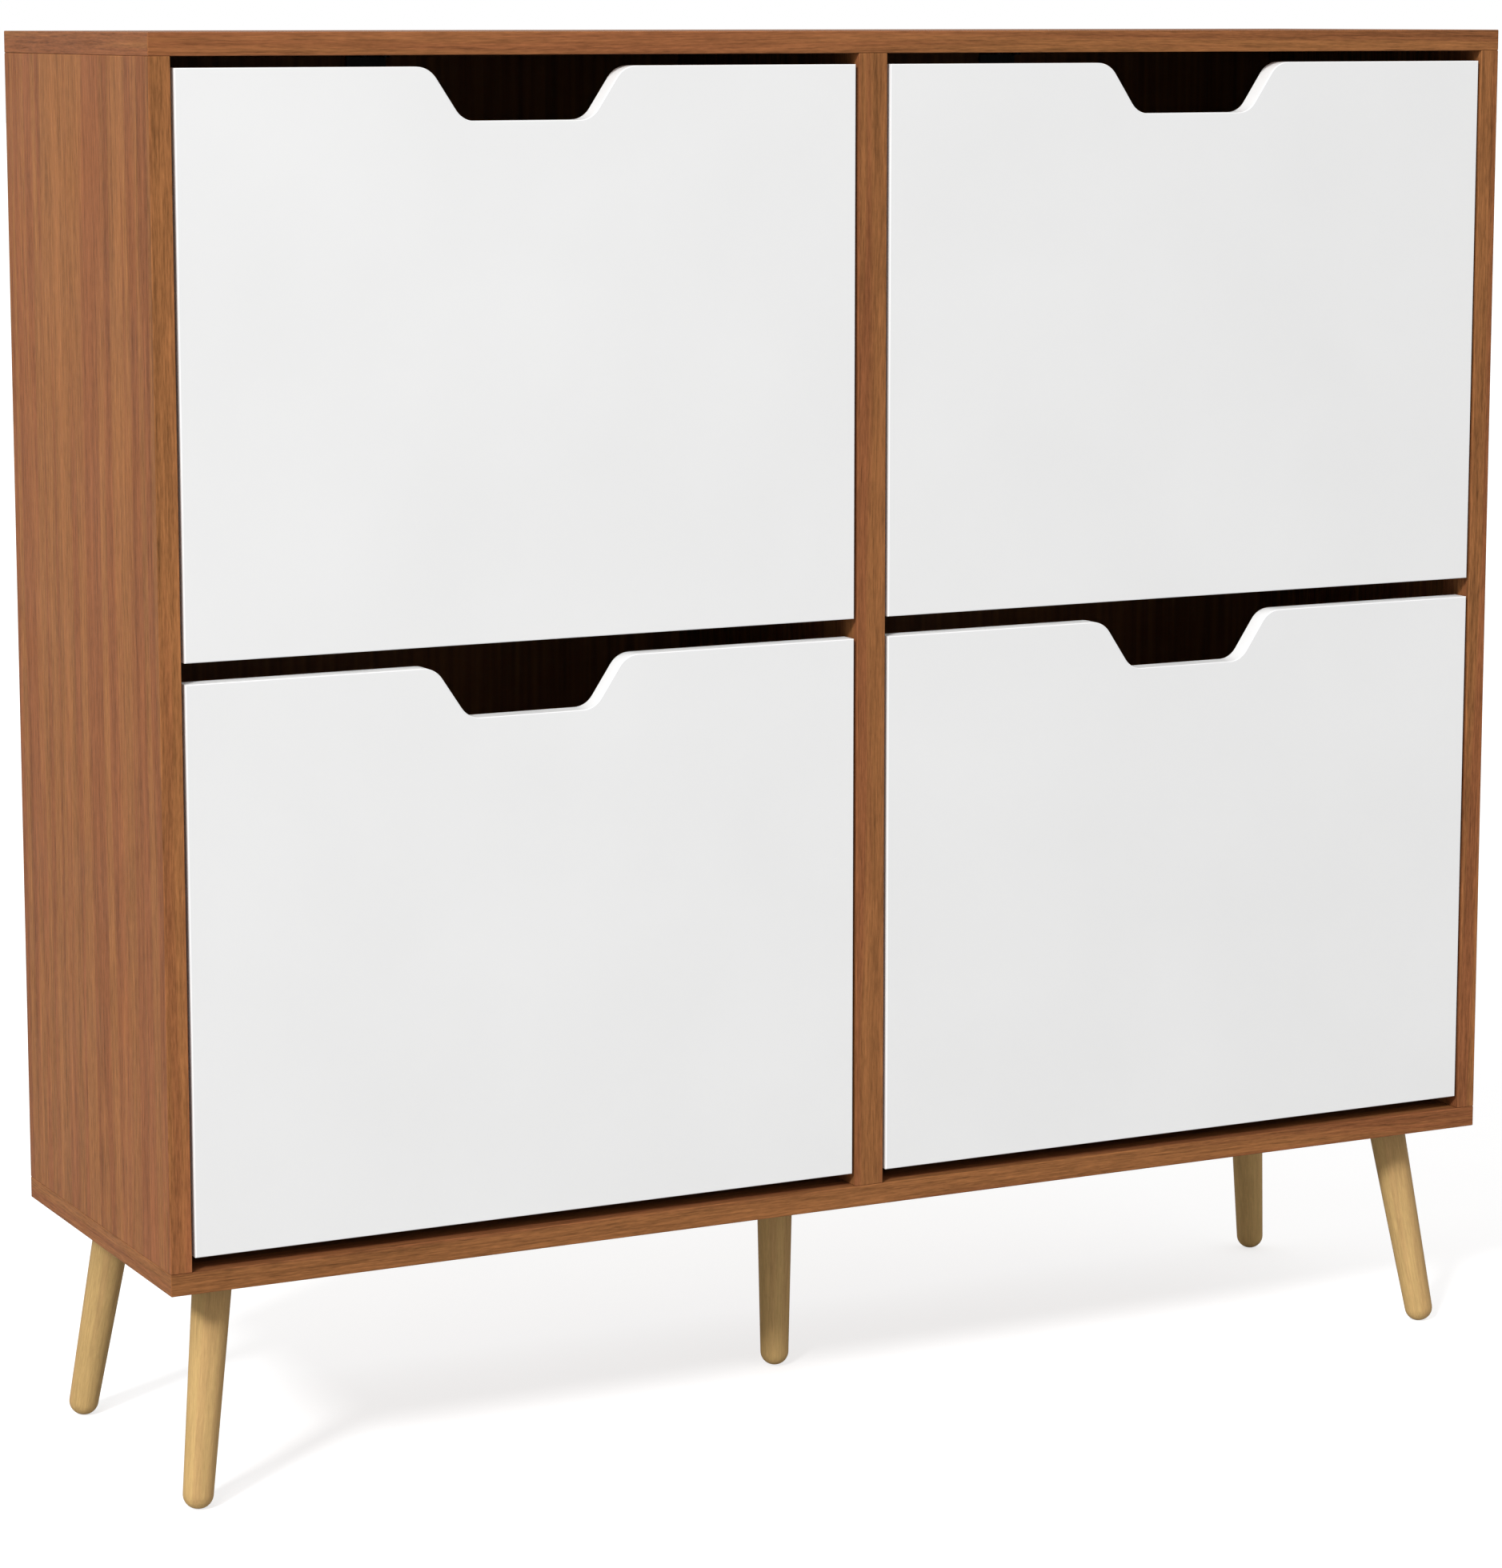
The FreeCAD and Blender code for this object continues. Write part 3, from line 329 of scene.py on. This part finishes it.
def plastic(name, tones, roughness=0.45):
    """Moulded plastic with a spark-eroded texture and scuffed edges."""
    g = Graph(name)
    place = g.place()
    grainy = g.noise(place, scale=900.0, detail=3.0)
    colour = g.two_tones(g.noise(place, scale=26.0, detail=3.0), tones)
    colour = g.rubbed(colour, tones[2], radius=0.8 * MM, strength=0.3)
    rough = g.spread(grainy, roughness - 0.06, roughness + 0.1)
    normal = g.bump(grainy, strength=0.18, distance=0.1 * MM)
    return g.surface(base_color=colour, roughness=rough, normal=normal, specular_ior_level=0.4)


def metal(name, tones, roughness, metallic=1.0):
    """Plated or painted metal with fine scratches and lighter edges."""
    g = Graph(name)
    place = g.place()
    scratch = g.noise(g.vector("MULTIPLY", place, (1.0, 0.15, 1.0)), scale=1600.0, detail=3.0)
    colour = g.two_tones(g.noise(place, scale=150.0, detail=3.0), tones)
    colour = g.rubbed(colour, tones[2], radius=0.4 * MM, strength=0.4)
    rough = g.spread(scratch, roughness - 0.08, roughness + 0.12)
    normal = g.bump(scratch, strength=0.15, distance=0.05 * MM)
    return g.surface(base_color=colour, metallic=metallic, roughness=rough, normal=normal)


# ---- materials on the CAD nodes --------------------------------------------------------------------
def dress(node, material):
    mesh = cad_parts[node].data
    mesh.materials.clear()
    mesh.materials.append(material)


def dress_boards():
    boards = {
        "side_panel_left": board("Z", None, seed=1, shade=1.02),
        "side_panel_right": board("Z", None, seed=2, shade=0.94),
        "center_divider": board("Z", None, seed=46, shade=0.855, depth=0.8),
        "top_panel": board("X", "Y", seed=44, shade=0.935, depth=0.9),
        "bottom_panel": board("X", "Y", seed=45, shade=0.90, depth=0.9),
    }
    for node, material in boards.items():
        dress(node, material)


def dress_fittings():
    rack = board("X", "Y", seed=6)
    white = white_board()
    sheet = back_sheet()
    moulded = plastic("bracket_plastic", BROWN_PLASTIC)
    zinc = metal("zinc_steel", ZINC_PLATE, roughness=0.34)
    turned = metal("pin_steel", PIN_STEEL, roughness=0.28)
    cast = metal("cast_zinc", CAST_ZINC, roughness=0.42)
    black = metal("black_steel", BLACK_PAINT_AND_PAINTED_SHADE, roughness=0.45, metallic=0.0)
    beech = wood("dowel_wood", lambda g: grain_place(g, "Z", None, seed=8), OAK, OAK_RED, roughness=0.6)
    rules = [
        ("flap_panel", white),
        ("_shelf", rack),
        ("middle_board", rack),
        ("rear_board", rack),
        ("bracket_left", moulded),
        ("bracket_right", moulded),
        ("back_sheet_left", sheet),
        ("back_sheet_right", sheet),
        ("_leg_plate", black),
        ("wood_dowels", beech),
        ("cam_locks", cast),
        ("pivot_pins", turned),
        ("stop_pins", turned),
        ("cam_bolts", zinc),
        ("_nails", zinc),
        ("wall_bracket_screws", black),
        ("_screws", zinc),
        # Painted shade: the wall brackets take the black finish so that, seen through the gaps, they are as
        # dark as the shade there.
        ("wall_brackets", black),
        ("leg_studs", zinc),
    ]
    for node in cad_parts:
        for ending, material in rules:
            if node.endswith(ending):
                dress(node, material)
                break


def leg_place(node):
    """Grain coordinates along a leg, found from the node's own box, whose sides give the splay."""
    low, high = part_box(node)
    middle = (low + high) / 2
    size = high - low
    run = Vector((0.0, 0.0, -size.z))
    if size.x >= STRAIGHT_LEG_WIDTH:
        run.x = math.copysign(max(0.0, size.x - LEG_GIRTH), middle.x)
        run.y = math.copysign(max(0.0, size.y - LEG_GIRTH), middle.y)
    turn = Vector((0.0, 0.0, -1.0)).rotation_difference(run).to_euler()

    def place(g):
        values = {"Vector": g.place(), "Location": tuple(middle), "Rotation": tuple(turn)}
        return g.add("Mapping", values, vector_type="TEXTURE").outputs[0]

    return place


def dress_legs():
    """Each leg is turned from its own length of timber, so its grain is its own; its brightness factor is
    painted light on the shaded middle and rear right legs and painted shade on the rear left leg.
    """
    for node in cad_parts:
        if node.endswith("_leg"):
            # painted light and shade: this leg's brightness factor
            tone = LEG_PAINTED_LIGHT_AND_SHADE.get(node, 1.0)
            looks = {"roughness": 0.4, "depth": 0.4, "fine": 1.2, "shade": tone}
            dress(node, wood("oak_" + node, leg_place(node), OAK, OAK_RED, **looks))


# ---- floor, light and camera -----------------------------------------------------------------------
def floor():
    mesh = bpy.data.meshes.new("floor")
    points = [(0.0, 0.0, 0.0)]
    for i in range(FLOOR_RIM):
        angle = 2 * math.pi * i / FLOOR_RIM
        points.append((FLOOR_RADIUS * math.cos(angle), FLOOR_RADIUS * math.sin(angle), 0.0))
    faces = [(0, i + 1, (i + 1) % FLOOR_RIM + 1) for i in range(FLOOR_RIM)]
    mesh.from_pydata(points, [], faces)
    plane = bpy.data.objects.new("floor", mesh)
    bpy.context.scene.collection.objects.link(plane)
    g = Graph("floor")
    mottle = g.noise(g.place(), FLOOR_MOTTLE_SCALE, detail=4.0)
    tone = g.spread(mottle, FLOOR_TONE * (1 - FLOOR_MOTTLE_DEPTH), FLOOR_TONE * (1 + FLOOR_MOTTLE_DEPTH))
    matt = g.add("BsdfDiffuse", {"Color": g.scaled(PURE_WHITE, tone)}).outputs[0]
    glow = g.add("Emission", {"Strength": FLOOR_GLOW}).outputs[0]
    lit = g.add("AddShader", {0: matt, 1: glow}).outputs[0]
    seen = g.add("LightPath").outputs["Is Camera Ray"]
    both = g.add("MixShader", {0: seen, 1: matt, 2: lit}).outputs[0]
    g.tree.links.new(both, g.output.inputs["Surface"])
    mesh.materials.append(g.material)


def backdrop():
    """An even white surround: it lights the cabinet at AMBIENT, and the camera sees it as pure white."""
    world = bpy.data.worlds.new("studio")
    world.use_nodes = True
    tree = world.node_tree
    lighting = tree.nodes["Background"]
    lighting.inputs["Color"].default_value = (*PURE_WHITE, 1.0)
    lighting.inputs["Strength"].default_value = AMBIENT
    seen = tree.nodes.new("ShaderNodeBackground")
    seen.inputs["Color"].default_value = (*PURE_WHITE, 1.0)
    path = tree.nodes.new("ShaderNodeLightPath")
    choose = tree.nodes.new("ShaderNodeMixShader")
    tree.links.new(path.outputs["Is Camera Ray"], choose.inputs["Fac"])
    tree.links.new(lighting.outputs[0], choose.inputs[1])
    tree.links.new(seen.outputs[0], choose.inputs[2])
    tree.links.new(choose.outputs[0], tree.nodes["World Output"].inputs["Surface"])
    bpy.context.scene.world = world


def sun_light():
    light = bpy.data.lights.new("overhead", "SUN")
    light.energy = SUN_POWER
    light.angle = math.radians(SUN_SPREAD)
    lamp = bpy.data.objects.new("overhead", light)
    lamp.rotation_euler = Vector(SUN_FROM).to_track_quat("Z", "Y").to_euler()
    bpy.context.scene.collection.objects.link(lamp)


def key_light():
    light = bpy.data.lights.new("key", "AREA")
    light.shape = "SQUARE"
    light.size = KEY_SIZE
    light.energy = KEY_POWER
    lamp = bpy.data.objects.new("key", light)
    lamp.location = KEY_PLACE
    lamp.rotation_euler = (Vector(KEY_AIM) - Vector(KEY_PLACE)).to_track_quat("-Z", "Y").to_euler()
    bpy.context.scene.collection.objects.link(lamp)


def camera():
    data = bpy.data.cameras.new("camera")
    data.sensor_fit = "HORIZONTAL"
    data.sensor_width = SENSOR_WIDTH
    data.lens = CAMERA_LENS
    data.shift_y = CAMERA_SHIFT
    eye = bpy.data.objects.new("camera", data)
    eye.location = CAMERA_PLACE
    eye.rotation_euler = Euler((math.radians(90 - CAMERA_PITCH), 0.0, math.radians(-CAMERA_YAW)))
    bpy.context.scene.collection.objects.link(eye)
    bpy.context.scene.camera = eye


dress_boards()
dress_fittings()
dress_legs()
floor()
backdrop()
sun_light()
key_light()
camera()
bpy.context.scene.view_settings.view_transform = "Standard"
